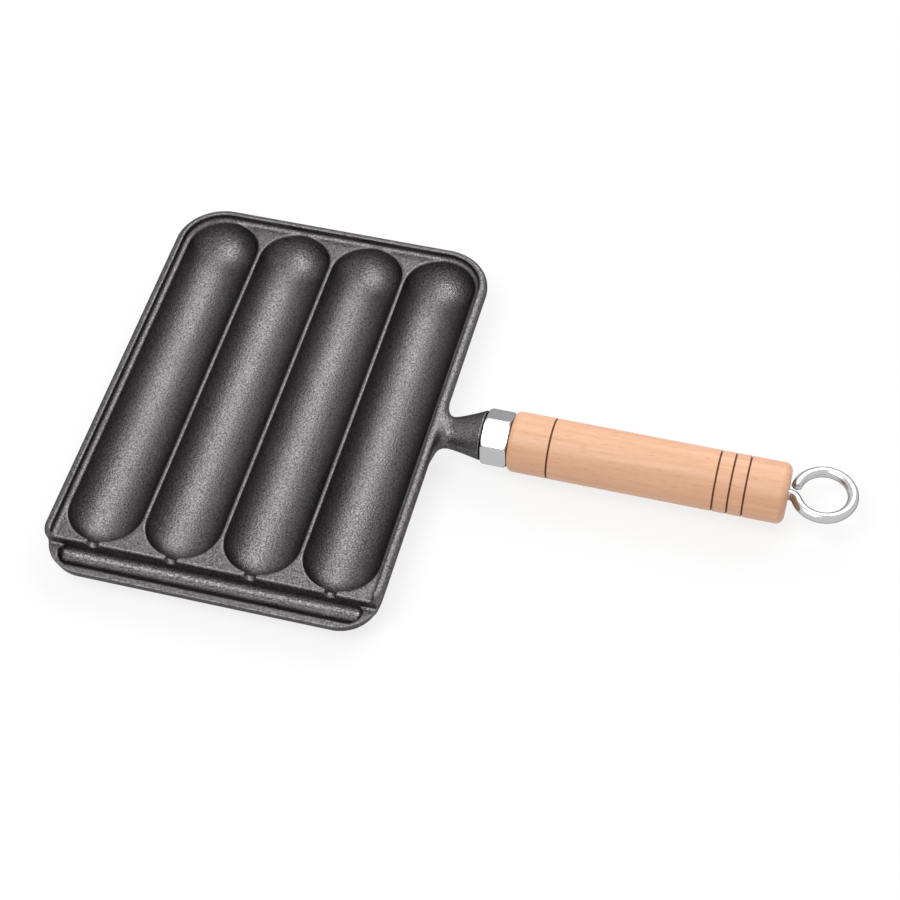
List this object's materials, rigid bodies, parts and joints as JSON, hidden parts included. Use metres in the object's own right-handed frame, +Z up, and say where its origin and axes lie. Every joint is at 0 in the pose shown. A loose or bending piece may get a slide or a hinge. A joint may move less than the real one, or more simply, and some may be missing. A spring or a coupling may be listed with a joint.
{
  "type": "sausage grill pan",
  "caption": "Cast iron sausage grill pan with long round-bottomed troughs, a raised rim, a drip gutter across the front and a turned wooden handle with a hanging eye.",
  "frame": {"origin": "under the middle of the whole pan's outline, on the surface it stands on", "axes": "+X along the handle, from the pan to the hanging eye; +Y along the troughs, away from the gutter; +Z up"},
  "size_m": [0.3362, 0.2136, 0.0315],
  "materials": {
    "cast_iron": "black seasoned sand casting with a fine grain",
    "chrome": "bright plated, slightly soft at the edges",
    "beech": "smooth turned beech with a thin clear coat and scorched grooves",
    "bright_steel": "bright plated wire"
  },
  "bodies": {
    "root": {"pan_casting": "cast_iron", "ferrule": "chrome", "wooden_grip": "beech", "eye_rod": "bright_steel"}
  },
  "joints": []
}
